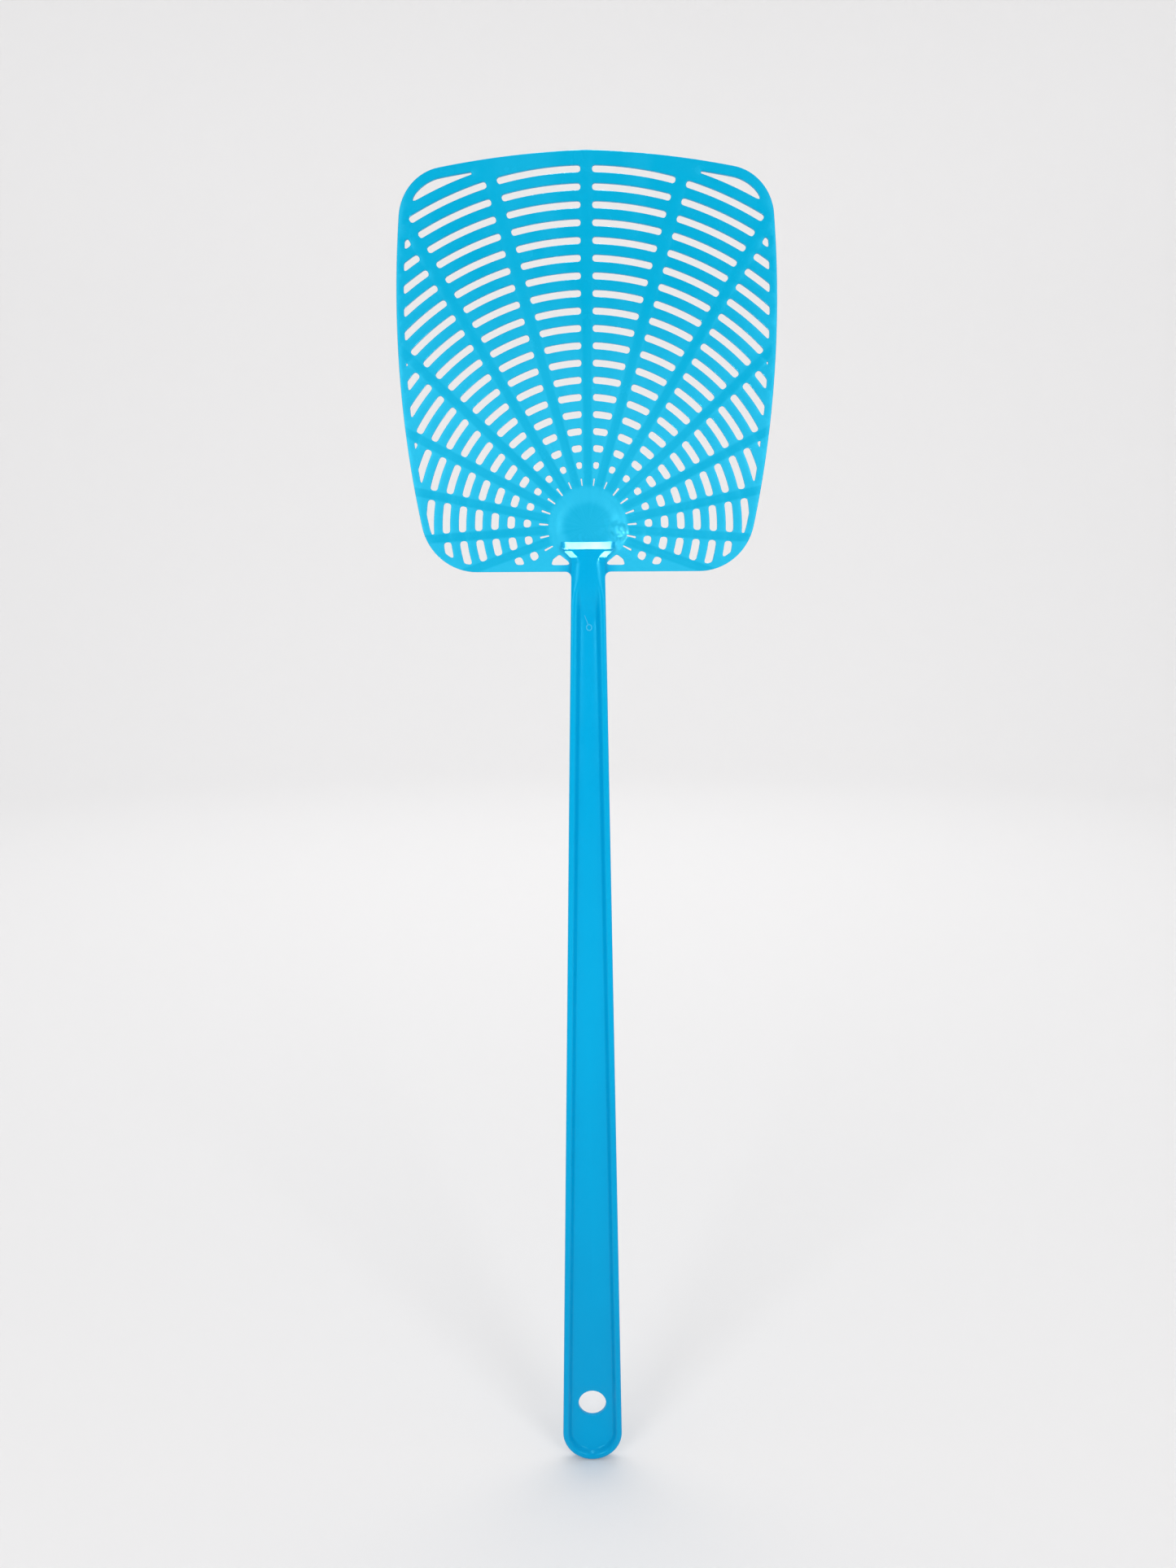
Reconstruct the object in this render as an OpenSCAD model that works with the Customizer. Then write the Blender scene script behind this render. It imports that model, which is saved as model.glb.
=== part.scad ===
// Moulded fly swatter: a slotted head on a flexible neck and a channel handle.
// Every sub-part is drawn flat, with its back on the plane z = 0, and place() stands it up:
// the back then lies on the plane Y = 0, the front faces -Y and the head is at the top.
// The origin is the axis of the hanging hole, on the back face.

/* [Head] */
// Height of the hub's centre above the hanging hole
hub_height = 298.5; // [270:0.5:340]
// Widest part of the head
head_width = 114.4; // [110:0.2:118]
// Height of the widest part above the hub
widest_height = 61; // [50:1:70]
// Height of the head's top edge above the hub
top_height = 108.9; // [106:0.1:112]
// Distance from the hub down to the head's bottom edge
bottom_depth = 13.5; // [12.5:0.1:15]
// Radius of the bowed sides
side_radius = 312; // [280:2:360]
// Radius of the two arcs of the top edge, which meet in a faint peak
top_radius = 285; // [260:5:320]
// How far the centre of each top arc lies past the middle line
peak_shift = 8.5; // [4:0.5:10]
// Radius of the two top corners
top_corner_radius = 15; // [12:0.5:18]
// Radius of the two bottom corners
bottom_corner_radius = 17; // [14:0.5:20]
// Thickness of the head
web_thickness = 1.2; // [0.9:0.1:1.4]
// Width of the rim along the sides
rim_width = 2.2; // [1.8:0.1:2.8]
// Width of the rim along the top
top_rim_width = 2.9; // [2.2:0.1:3.2]
// Radius of the top corners on the inside of the rim
inner_corner_radius = 13; // [11:0.5:14]

/* [Slots] */
// Angle between neighbouring spokes
spoke_pitch = 15.652; // [15.5:0.001:15.8]
// Width of the upright spoke
spoke_width_top = 3.5; // [3:0.1:3.7]
// Width of the lowest spokes
spoke_width_side = 2.6; // [2.3:0.1:3]
// Radius of the first row of slots
first_row_radius = 18.75; // [18:0.05:19]
// Distance from one row of slots to the next
row_pitch = 5; // [4.9:0.01:5.1]
// Width of a slot
slot_width = 2.2; // [1.8:0.05:2.6]
// Angle from the upright spoke at which the corner window starts
corner_start = 18.3; // [17.5:0.1:20]

/* [Hub] */
// Radius of the hub disc
hub_radius = 11.2; // [10.4:0.1:11.3]
// Thickness of the hub disc
hub_thickness = 1.7; // [1.5:0.1:2]
// Length of the short slits round the hub
slit_length = 2.8; // [2:0.1:3]
// Width of the short slits round the hub
slit_width = 0.6; // [0.4:0.1:1]
// Distance from the hub's centre to the middle of a slit
slit_radius = 13.7; // [13.4:0.1:14]

/* [Handle] */
// Width of the neck where it leaves the head
neck_width = 10.6; // [9.6:0.1:12]
// Radius of the handle's round end
end_radius = 10.2; // [9.6:0.1:11]
// Distance from the hanging hole down to the centre of the round end
end_drop = 10.1; // [8:0.1:12]
// Overall thickness of the handle
handle_thickness = 3.6; // [3.2:0.1:5]
// Thickness of the handle's floor
floor_thickness = 1.6; // [1.4:0.1:2]
// Width of a rail along its top
rail_top = 1.6; // [1.2:0.1:2]
// Width of a rail at the floor
rail_base = 3.2; // [2.4:0.1:3.4]
// Diameter of the hanging hole
hole_diameter = 9.5; // [7:0.1:10]
// Radius of the fillets between the neck and the head
neck_fillet = 1.8; // [1:0.1:2]

/* [Neck] */
// Length of the stub below the head, down to the flexing strip
stub_length = 3; // [2.5:0.1:4]
// Length of the flexing strip
strip_length = 44; // [30:1:60]
// Half of the width of the ramp's flared end
ramp_half_width = 8.1; // [7:0.1:9]

/* [Hidden] */
$fn = 96;
HEAD_BLUE = [0.02, 0.70, 0.91];
HANDLE_BLUE = [0.03, 0.64, 0.88];

LAST_SPOKE = 7;
SECTORS = 8;
// Rows of open slots in each sector, counted from the upright spoke outwards
ROWS = [18, 19, 17, 12, 9, 7, 6, 2];
RING_COUNT = max(ROWS) - 1;
// The sector whose last slot is the corner window, which opens up to the rim
CORNER_SECTOR = 1;

// Reach of a construction line that has to pass the head's outline
far = 150;
// How far a cut or a joined shape runs past the face that it crosses
over = 1;

SPOKE_NAMES = [for (i = [-LAST_SPOKE : LAST_SPOKE]) spoke_name(i)];
RING_NAMES = [for (k = [1 : RING_COUNT]) ring_name(k)];

function two_digits(n) = n < 10 ? str("0", n) : str(n);
function spoke_name(i) =
    i == 0 ? "spoke_centre" : str(i < 0 ? "spoke_left_" : "spoke_right_", abs(i));
function ring_name(k) = str("ring_", two_digits(k));

function unit(v) = v / norm(v);
function mirrored(p) = [-p.x, p.y];
// Direction at an angle from straight up, turning towards +X
function heading(a) = [sin(a), cos(a)];
// Direction a quarter turn past that heading
function beside(a) = [cos(a), -sin(a)];

function spoke_width(i) =
    spoke_width_top + (spoke_width_side - spoke_width_top) * abs(i) / LAST_SPOKE;
function row_radius(k) = first_row_radius + (k - 1) * row_pitch;
function row_inner(k) = row_radius(k) - slot_width / 2;
function row_outer(k) = row_radius(k) + slot_width / 2;
collar_radius = row_inner(1);

// A point on the side of spoke i that faces the next spoke, r along the spoke
function far_side(i, r) = heading(i * spoke_pitch) * r + beside(i * spoke_pitch) * spoke_width(i) / 2;
// The same on the side that faces the spoke before
function near_side(i, r) = heading(i * spoke_pitch) * r - beside(i * spoke_pitch) * spoke_width(i) / 2;

// Point where two circles meet, on the +X side
function meeting(c1, r1, c2, r2) =
    let (
        line = c2 - c1,
        d = norm(line),
        along = (r1 * r1 - r2 * r2 + d * d) / (2 * d),
        across = sqrt(r1 * r1 - along * along),
        turn = [-line.y, line.x] / d,
        foot = c1 + line / d * along,
        a = foot + turn * across,
        b = foot - turn * across
    )
    a.x > b.x ? a : b;

// Arcs of the head's outline, in the frame of the hub
side_centre = [head_width / 2 - side_radius, widest_height];
top_centre = [-peak_shift, top_height - sqrt(pow(top_radius, 2) - pow(peak_shift, 2))];
bottom_corner_y = bottom_corner_radius - bottom_depth;
bottom_corner_reach = side_radius - bottom_corner_radius;
bottom_corner = [
    side_centre.x + sqrt(pow(bottom_corner_reach, 2) - pow(bottom_corner_y - widest_height, 2)),
    bottom_corner_y
];
bottom_corner_out = unit(bottom_corner - side_centre);
bottom_corner_down = [0, -1];
// Length of the lines that separate a corner from the rest of the head
corner_line = top_corner_radius + 14;

// Sides of the handle, in the frame of the hanging hole
end_centre = [0, -end_drop];
strip_top = hub_height - bottom_depth - stub_length;
strip_bottom = strip_top - strip_length;
neck_corner = [neck_width / 2, strip_top];
neck_to_end = norm(neck_corner - end_centre);
taper = asin(end_radius / neck_to_end) - atan(neck_corner.x / (neck_corner.y - end_centre.y));
side_normal = [cos(taper), sin(taper)];
end_tangent = end_centre + side_normal * end_radius;
function half_width(y) = end_radius / cos(taper) - (y - end_centre.y) * tan(taper);

// Stands a flat part up: its thickness then runs towards -Y
module place(height = 0) {
    translate([0, 0, height]) rotate([90, 0, 0]) children();
}

// ---- head ----

// The sharp corner of the head that lies outside one of its corner arcs. The arc meets its
// neighbours in the directions from and to.
module corner_waste(centre, from, to, radius) {
    difference() {
        polygon([
            centre,
            centre + from * corner_line,
            centre + unit(from + to) * 2 * corner_line,
            centre + to * corner_line
        ]);
        translate(centre) circle(radius);
    }
}

// The head's outline, moved inwards by side_inset along the sides and the bottom edge, and by
// top_inset along the top
module head_shape(side_inset = 0, top_inset = 0, corner_radius = top_corner_radius) {
    side = side_radius - side_inset;
    top = top_radius - top_inset;
    corner = meeting(side_centre, side - corner_radius, top_centre, top - corner_radius);
    low_radius = bottom_corner_radius - side_inset;
    difference() {
        intersection() {
            translate(side_centre) circle(side);
            translate(mirrored(side_centre)) circle(side);
            translate(top_centre) circle(top);
            translate(mirrored(top_centre)) circle(top);
            translate([-far / 2, side_inset - bottom_depth]) square([far, far]);
        }
        for (flip = [0, 1]) mirror([flip, 0]) {
            corner_waste(corner, unit(corner - top_centre), unit(corner - side_centre), corner_radius);
            corner_waste(bottom_corner, bottom_corner_out, bottom_corner_down, low_radius);
        }
    }
}

// The part of the head inside its rim
module inside_rim() {
    head_shape(rim_width, top_rim_width, inner_corner_radius);
}

// The space between spoke s and the next one, on the +X side, widened by grow on both sides
module sector(s, grow = 0) {
    start = hub_radius + 2;
    low = beside(s * spoke_pitch) * grow;
    high = beside((s + 1) * spoke_pitch) * grow;
    polygon([
        far_side(s, start) - low, far_side(s, far) - low,
        near_side(s + 1, far) + high, near_side(s + 1, start) + high
    ]);
}

// The open part of a sector, drawn a little under its two spokes
module slotted_zone(s) {
    difference() {
        intersection() {
            sector(s, spoke_width_side / 3);
            circle(s == CORNER_SECTOR ? far : row_outer(ROWS[s]));
            inside_rim();
        }
        if (s == CORNER_SECTOR) corner_stop();
    }
}

// The solid part of the rim where the corner window ends
module corner_stop() {
    difference() {
        polygon([[0, 0], [0, far], heading(corner_start) * far]);
        circle(row_inner(ROWS[CORNER_SECTOR]));
    }
}

module spoke_bar(i) {
    polygon([near_side(i, 0), near_side(i, far), far_side(i, far), far_side(i, 0)]);
}

// The solid part of the head between the two lowest sectors
module neck_wedge() {
    right = [for (r = [0, far]) near_side(SECTORS, r)];
    polygon([right[0], right[1], mirrored(right[1]), mirrored(right[0])]);
}

module head_rim() {
    color(HEAD_BLUE) place(hub_height) linear_extrude(web_thickness) difference() {
        head_shape();
        for (flip = [0, 1]) mirror([flip, 0]) {
            for (s = [0 : SECTORS - 1]) slotted_zone(s);
            for (i = [0 : LAST_SPOKE]) intersection() {
                spoke_bar(i);
                inside_rim();
            }
        }
        neck_wedge();
        circle(collar_radius);
    }
}

module hub_disc() {
    color(HEAD_BLUE) place(hub_height) cylinder(r = hub_radius, h = hub_thickness);
}

// The flat ring round the hub, with a short slit in each sector
module hub_collar() {
    end_round = slit_width / 2;
    color(HEAD_BLUE) place(hub_height) linear_extrude(web_thickness) difference() {
        circle(collar_radius);
        circle(hub_radius);
        neck_wedge();
        for (side = [-1, 1], s = [0 : SECTORS - 1])
            rotate(-side * (s + 0.5) * spoke_pitch) translate([0, slit_radius]) {
                square([slit_width, slit_length - slit_width], center = true);
                for (end = [-1, 1])
                    translate([0, end * (slit_length / 2 - end_round)]) circle(end_round);
            }
    }
}

module spoke(i) {
    color(HEAD_BLUE) place(hub_height) linear_extrude(web_thickness) difference() {
        intersection() {
            spoke_bar(i);
            inside_rim();
        }
        circle(collar_radius);
    }
}

// The bars between slot rows k and k + 1
module ring(k) {
    color(HEAD_BLUE) place(hub_height) linear_extrude(web_thickness)
        for (flip = [0, 1]) mirror([flip, 0])
            for (s = [0 : SECTORS - 1]) if (ROWS[s] > k) intersection() {
                difference() {
                    circle(row_inner(k + 1));
                    circle(row_outer(k));
                }
                sector(s);
                inside_rim();
            }
}

// ---- neck ----

// Small opening beside the neck
module neck_window() {
    round = 0.8;
    inner = [6.15, -10.6];
    outer = [10.5, -10.6];
    peak = [8.8, -9.3];
    up = [0, round];
    polygon([inner - up, inner + up, peak + up, outer + up, outer - up]);
    for (p = [inner, outer]) translate(p) circle(round);
}

// The plate between hub and handle, with its stub and fillets
module neck_plate() {
    half = neck_width / 2;
    edge = -bottom_depth;
    angle = SECTORS * spoke_pitch;
    reach = (edge - sin(angle) * spoke_width(SECTORS) / 2) / cos(angle);
    right = [
        near_side(SECTORS, 0),
        near_side(SECTORS, reach),
        [half + neck_fillet, edge],
        [half + neck_fillet, edge - neck_fillet],
        [half, edge - neck_fillet],
        [half, edge - stub_length]
    ];
    count = len(right);
    left = [for (i = [1 : count]) mirrored(right[count - i])];
    color(HEAD_BLUE) place(hub_height) linear_extrude(web_thickness) difference() {
        polygon(concat(right, left));
        circle(hub_radius);
        for (flip = [0, 1]) mirror([flip, 0]) {
            translate([half + neck_fillet, edge - neck_fillet]) circle(neck_fillet);
            neck_window();
        }
    }
}

// The raised top of the handle, which slopes down to the hub at its flared end
module neck_ramp() {
    half = neck_width / 2;
    foot = -3.8;
    crest = -6.9;
    waist = -9;
    bottom = -bottom_depth - stub_length;
    rise = handle_thickness - web_thickness;
    color(HANDLE_BLUE) place(hub_height) difference() {
        translate([0, 0, web_thickness]) linear_extrude(rise) polygon([
            [-half, bottom], [-half, waist], [-ramp_half_width, crest], [-ramp_half_width, foot],
            [ramp_half_width, foot], [ramp_half_width, crest], [half, waist], [half, bottom]
        ]);
        cylinder(r = hub_radius, h = hub_thickness);
        // slope from the foot up to the crest
        rotate([90, 0, 90]) translate([0, 0, -far / 2]) linear_extrude(far) polygon([
            [foot, web_thickness], [crest, handle_thickness], [crest, handle_thickness + over],
            [foot + over, handle_thickness + over], [foot + over, web_thickness]
        ]);
    }
}

// Floor of the handle between two heights
module floor_piece(low, high) {
    polygon([
        [half_width(low), low], [half_width(high), high],
        [-half_width(high), high], [-half_width(low), low]
    ]);
}

// Rail along the +X side, between the round end and a height
module rail_to(high) {
    length = high - end_tangent.y + over;
    intersection() {
        multmatrix([
            [-side_normal.x, 0, -side_normal.y, end_tangent.x],
            [-side_normal.y, 0, side_normal.x, end_tangent.y],
            [0, 1, 0, 0]
        ])
            linear_extrude(length) rail_profile();
        translate([-far / 2, end_tangent.y - far, 0]) cube([far, high - end_tangent.y + far, far]);
    }
}

// Section of a rail: distance from the handle's edge, and height above its back
module rail_profile() {
    polygon([
        [0, floor_thickness], [rail_base, floor_thickness],
        [rail_top, handle_thickness], [0, handle_thickness]
    ]);
}

// The strip that bends when the head is flicked
module neck_strip() {
    color(HANDLE_BLUE) place() {
        linear_extrude(floor_thickness) floor_piece(strip_bottom, strip_top);
        for (flip = [0, 1]) mirror([flip, 0, 0]) difference() {
            rail_to(strip_top);
            translate([-far / 2, strip_bottom - 3 * far, -over]) cube([far, 3 * far, far]);
        }
    }
}

// ---- handle ----

module handle_floor() {
    color(HANDLE_BLUE) place() difference() {
        linear_extrude(floor_thickness) {
            polygon([
                end_centre, end_tangent,
                [half_width(strip_bottom), strip_bottom], [-half_width(strip_bottom), strip_bottom],
                mirrored(end_tangent)
            ]);
            difference() {
                translate(end_centre) circle(end_radius);
                polygon([
                    end_centre,
                    end_centre + side_normal * 2 * end_radius,
                    end_centre + [0, 3 * end_radius],
                    end_centre + mirrored(side_normal) * 2 * end_radius
                ]);
            }
        }
        translate([0, 0, -over]) cylinder(d = hole_diameter, h = floor_thickness + 2 * over);
    }
}

module right_rail() {
    color(HANDLE_BLUE) place() rail_to(strip_bottom);
}

module left_rail() {
    color(HANDLE_BLUE) place() mirror([1, 0, 0]) rail_to(strip_bottom);
}

module end_rail() {
    color(HANDLE_BLUE) place() translate(end_centre) rotate(180 - taper)
        rotate_extrude(angle = 180 + 2 * taper) translate([end_radius, 0]) mirror([1, 0]) rail_profile();
}

head_rim();
hub_disc();
hub_collar();
neck_plate();
neck_ramp();
for (i = [-LAST_SPOKE : LAST_SPOKE]) spoke(i);
for (k = [1 : RING_COUNT]) ring(k);
neck_strip();
handle_floor();
left_rail();
right_rail();
end_rail();
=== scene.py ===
"""Fly swatter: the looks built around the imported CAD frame.

Lengths are metres in the CAD's own frame: the back lies on the plane Y = 0, the front faces -Y,
the head is at the top, and the origin is on the axis of the hanging hole.
A flat point is (x, z), and its depth is its distance in front of the back plane.
"""

import math

import bmesh
import bpy
from mathutils import Matrix, Vector


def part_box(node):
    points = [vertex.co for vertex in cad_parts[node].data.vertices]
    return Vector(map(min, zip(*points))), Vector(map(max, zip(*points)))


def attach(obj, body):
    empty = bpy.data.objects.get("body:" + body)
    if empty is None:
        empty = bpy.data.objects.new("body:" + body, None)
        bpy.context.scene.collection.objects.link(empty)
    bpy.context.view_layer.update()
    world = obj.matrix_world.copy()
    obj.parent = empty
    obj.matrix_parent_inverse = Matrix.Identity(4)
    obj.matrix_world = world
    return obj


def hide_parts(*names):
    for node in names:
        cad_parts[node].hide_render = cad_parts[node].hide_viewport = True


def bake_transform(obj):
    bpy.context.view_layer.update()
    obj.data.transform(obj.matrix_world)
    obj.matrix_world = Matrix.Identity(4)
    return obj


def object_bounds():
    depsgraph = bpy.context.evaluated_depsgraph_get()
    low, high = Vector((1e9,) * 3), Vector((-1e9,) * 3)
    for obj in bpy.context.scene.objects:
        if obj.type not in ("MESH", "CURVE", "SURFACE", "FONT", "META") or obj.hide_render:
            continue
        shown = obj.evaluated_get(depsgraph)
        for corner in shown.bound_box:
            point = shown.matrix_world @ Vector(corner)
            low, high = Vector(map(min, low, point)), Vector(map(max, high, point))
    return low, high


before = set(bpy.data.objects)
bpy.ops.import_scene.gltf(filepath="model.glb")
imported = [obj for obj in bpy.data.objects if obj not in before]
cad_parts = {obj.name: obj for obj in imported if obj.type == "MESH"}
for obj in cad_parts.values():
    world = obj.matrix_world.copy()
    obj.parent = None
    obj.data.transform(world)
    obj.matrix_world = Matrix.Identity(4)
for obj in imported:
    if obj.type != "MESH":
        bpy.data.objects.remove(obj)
cad_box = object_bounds()

MM = 0.001

# ---- sizes read from the frame ----

disc_low, disc_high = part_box("hub_disc")
rim_low, rim_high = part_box("head_rim")
strip_low, strip_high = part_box("neck_strip")
floor_low, floor_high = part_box("handle_floor")

HUB = (disc_low.z + disc_high.z) / 2
HUB_RADIUS = (disc_high.z - disc_low.z) / 2
HUB_THICK = -disc_low.y
HUB_SHOULDER = 4.2 * MM
# Where the boss starts inside the plate: insets, and depths below the plate's front
HUB_ROOT = ((0.1 * MM, 0.4 * MM), (0, 0.02 * MM))
WEB = -rim_low.y
HEAD_HALF = (rim_high.x - rim_low.x) / 2
HEAD_TOP = rim_high.z
HEAD_BOTTOM = rim_low.z
FLOOR = -floor_low.y
STRIP_TOP = strip_high.z
STRIP_BOTTOM = strip_low.z
STRIP_HALF = (strip_high.x - strip_low.x) / 2
END_RADIUS = (floor_high.x - floor_low.x) / 2
END_CENTRE = Vector((0, floor_low.z + END_RADIUS))
# The handle narrows evenly from its round end up to the top of the strip
TAPER = (END_RADIUS - STRIP_HALF) / (STRIP_BOTTOM - END_CENTRE.y)
STRIP_HALF_TOP = STRIP_HALF - (STRIP_TOP - STRIP_BOTTOM) * TAPER

# ---- sizes of the head's outline and slots ----

# Height at which the head is widest
WIDEST = HUB + 61 * MM
SIDE_RADIUS = 312 * MM
# The two arcs of the top edge have their centres past the middle line, so they meet in a low peak
TOP_RADIUS = 285 * MM
PEAK_SHIFT = 8.5 * MM
# Radii of the top corners outside and inside the rim, and of the bottom corners outside it
TOP_CORNER = 15 * MM
INNER_CORNER = 13 * MM
BOTTOM_CORNER = 17 * MM
SIDE_RIM = 2.2 * MM
TOP_RIM = 2.9 * MM
# Points of the outline's arcs
CORNER_POINTS = 17
SIDE_POINTS = 33
TOP_POINTS = 17
FILLET_POINTS = 9
# Rounding of the plate's edges
LIP = 0.22 * MM
SPOKE_PITCH = math.radians(15.652)
# Rows of open slots in each sector, counted from the upright spoke outwards
ROWS = (18, 19, 17, 12, 9, 7, 6, 2)
# Number of the outermost spoke and of the outermost sector: the upright spoke is 0
OUTERMOST = len(ROWS) - 1
# Widths of the upright spoke and the outermost, and of the slots in sector 0 and the outermost
SPOKE_WIDTHS = (3.5 * MM, 2.6 * MM)
SLOT_WIDTHS = (2.05 * MM, 2.4 * MM)
# Distance from the hub's middle to the first row of slots, and from row to row
FIRST_ROW = 18.75 * MM
ROW_PITCH = 5 * MM
SLOT_STEPS = 12
# The sector whose last slot is the corner window: it opens up to the rim and starts at an angle
CORNER_SECTOR = 1
CORNER_START = math.radians(18.3)
CORNER_DEPTH = 8 * MM
SLIT_RADIUS = 13.7 * MM
# Length and width of the slits, and of the four nearly closed ones above the hub
SLIT_SIZE = (2.8 * MM, 0.6 * MM)
FAINT_SLIT_SIZE = (2.2 * MM, 0.38 * MM)
FAINT_SECTORS = 2
# A slit's width divided by these is its half width at its inner and at its outer end
SLIT_ENDS = (3, 2)
# Corner radius of the slots and slits, as a share of their width
SLOT_ROUNDING = 0.48
SLIT_ROUNDING = 0.5
# Corners of the opening beside the neck, in mm from the hub
NECK_WINDOW = ((4.9, -11.4), (11.5, -11.4), (10.8, -9.6), (8.9, -8.2))
NECK_WINDOW_ROUND = 0.8 * MM
NECK_FILLET = 1.8 * MM
# How far the plate reaches into the neck, and stays inside its sides
NECK_LAP = 0.4 * MM
NECK_TUCK = 0.15 * MM
HOLE_RADIUS = 4.75 * MM
HOLE_LIP = 0.25 * MM
HOLE_MARGIN = 3 * MM
# Share of the way between two corners that the arc of one may take
CORNER_SHARE = 0.49
# Limits how far a sharp corner's mitre reaches
LEAST_MITRE = 0.4
# Sides of the hub's and the hole's circles, and steps of the hub's slope and the handle's round end
HUB_SIDES = 96
HOLE_SIDES = 64
HUB_STEPS = 12
END_STEPS = 48

# ---- flat geometry ----


def flat(x, z):
    return Vector((x, z))


def heading(angle):
    """Direction at an angle from straight up, turning towards +X."""
    return flat(math.sin(angle), math.cos(angle))


def beside(angle):
    return flat(math.cos(angle), -math.sin(angle))


def mirrored(p):
    return flat(-p.x, p.y)


def mix(a, b, t):
    return a + (b - a) * t


def ease(t):
    t = min(max(t, 0.0), 1.0)
    return t * t * (3 - 2 * t)


def straight(t):
    return t


def eased(knots, t, curve=ease):
    """Value at t of a curve that eases from each knot (t, value) to the next."""
    if t >= knots[0][0]:
        return knots[0][1]
    for (t0, v0), (t1, v1) in zip(knots, knots[1:]):
        if t >= t1:
            return mix(v0, v1, curve((t - t0) / (t1 - t0)))
    return knots[-1][1]


def arc(centre, radius, start, end, count):
    """Points of an arc. The angles run anticlockwise from +X."""
    angles = [mix(start, end, i / (count - 1)) for i in range(count)]
    return [centre + radius * flat(math.cos(a), math.sin(a)) for a in angles]


def angle_of(v):
    return math.atan2(v.y, v.x)


def meeting(c1, r1, c2, r2):
    """The point where two circles meet, on the +X side."""
    line = c2 - c1
    d = line.length
    along = (r1 * r1 - r2 * r2 + d * d) / (2 * d)
    across = math.sqrt(r1 * r1 - along * along)
    foot = c1 + line / d * along
    turn = flat(-line.y, line.x) / d
    return max((foot + turn * across, foot - turn * across), key=lambda p: p.x)


def head_side(side_inset, top_inset, corner):
    """The +X half of the head's outline, anticlockwise from its bottom edge to its top."""
    side_centre = flat(HEAD_HALF - SIDE_RADIUS, WIDEST)
    top_centre = flat(-PEAK_SHIFT, HEAD_TOP - math.sqrt(TOP_RADIUS**2 - PEAK_SHIFT**2))
    side, top = SIDE_RADIUS - side_inset, TOP_RADIUS - top_inset
    low = BOTTOM_CORNER - side_inset
    low_z = HEAD_BOTTOM + BOTTOM_CORNER
    reach = SIDE_RADIUS - BOTTOM_CORNER
    low_centre = flat(side_centre.x + math.sqrt(reach**2 - (low_z - WIDEST) ** 2), low_z)
    high_centre = meeting(side_centre, side - corner, top_centre, top - corner)
    low_out = angle_of(low_centre - side_centre)
    high_out = angle_of(high_centre - side_centre)
    high_up = angle_of(high_centre - top_centre)
    peak = math.acos(PEAK_SHIFT / top)
    return (
        arc(low_centre, low, -math.pi / 2, low_out, CORNER_POINTS)[:-1]
        + arc(side_centre, side, low_out, high_out, SIDE_POINTS)[:-1]
        + arc(high_centre, corner, high_out, high_up, CORNER_POINTS)[:-1]
        + arc(top_centre, top, high_up, peak, TOP_POINTS)
    )


def whole(half):
    """A closed outline from its +X half, of which only the last point is on the middle line."""
    return half + [mirrored(p) for p in reversed(half[:-1])]


def whole_from(half):
    """A closed outline from its +X half, whose two ends lie on the middle line."""
    return half + [mirrored(p) for p in reversed(half[1:-1])]


def anticlockwise(loop):
    area = sum(a.cross(b) for a, b in zip(loop, loop[1:] + loop[:1]))
    return loop if area > 0 else loop[::-1]


def clip(loop, fence):
    """The part of a loop inside a convex, anticlockwise fence."""
    for a, b in zip(fence, fence[1:] + fence[:1]):
        edge = b - a
        sides = [edge.cross(p - a) for p in loop]
        kept = []
        for i, p in enumerate(loop):
            q, at_p, at_q = loop[i - 1], sides[i], sides[i - 1]
            if (at_p < 0) != (at_q < 0):
                kept.append(q + (p - q) * (at_q / (at_q - at_p)))
            if at_p >= 0:
                kept.append(p)
        loop = kept
        if not loop:
            break
    return loop


def without_repeats(loop, gap=0.01 * MM):
    kept = []
    for p in loop:
        if not kept or (p - kept[-1]).length > gap:
            kept.append(p)
    while len(kept) > 1 and (kept[0] - kept[-1]).length <= gap:
        kept.pop()
    return kept


def rounded(loop, radius, steps=5, least_turn=math.radians(25)):
    """The loop with an arc in place of each sharp corner."""
    loop = without_repeats(loop)
    count = len(loop)
    turns = []
    for i, p in enumerate(loop):
        before, after = p - loop[i - 1], loop[(i + 1) % count] - p
        turns.append(math.atan2(before.cross(after), before.dot(after)))
    corners = [i for i in range(count) if abs(turns[i]) > least_turn]

    def walk(i, step, distance):
        """The point at a distance along the loop from corner i, and the index past it."""
        p = loop[i]
        while True:
            i = (i + step) % count
            gap = (loop[i] - p).length
            if gap >= distance:
                return p + (loop[i] - p) * (distance / gap), i
            distance -= gap
            p = loop[i]

    def run(i, j):
        """Length of the loop from corner i to corner j."""
        total, k = 0.0, i
        while True:
            n = (k + 1) % count
            total += (loop[n] - loop[k]).length
            k = n
            if k == j:
                return total

    made = []
    for c, i in enumerate(corners):
        past, ahead = corners[c - 1], corners[(c + 1) % len(corners)]
        room = CORNER_SHARE * min(run(past, i), run(i, ahead))
        cut = min(radius * math.tan(abs(turns[i]) / 2), room)
        start, _ = walk(i, -1, cut)
        end, after = walk(i, 1, cut)
        for k in range(steps + 1):
            t = k / steps
            made.append(start.lerp(loop[i], t).lerp(loop[i].lerp(end, t), t))
        next_cut = min(radius * math.tan(abs(turns[ahead]) / 2), CORNER_SHARE * run(i, ahead))
        _, stop = walk(ahead, -1, next_cut)
        k = after
        while k != (stop + 1) % count:
            made.append(loop[k])
            k = (k + 1) % count
    return without_repeats(made)


# ---- outlines of the head ----


def spoke_width(i):
    return mix(*SPOKE_WIDTHS, min(i / OUTERMOST, 1))


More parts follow.
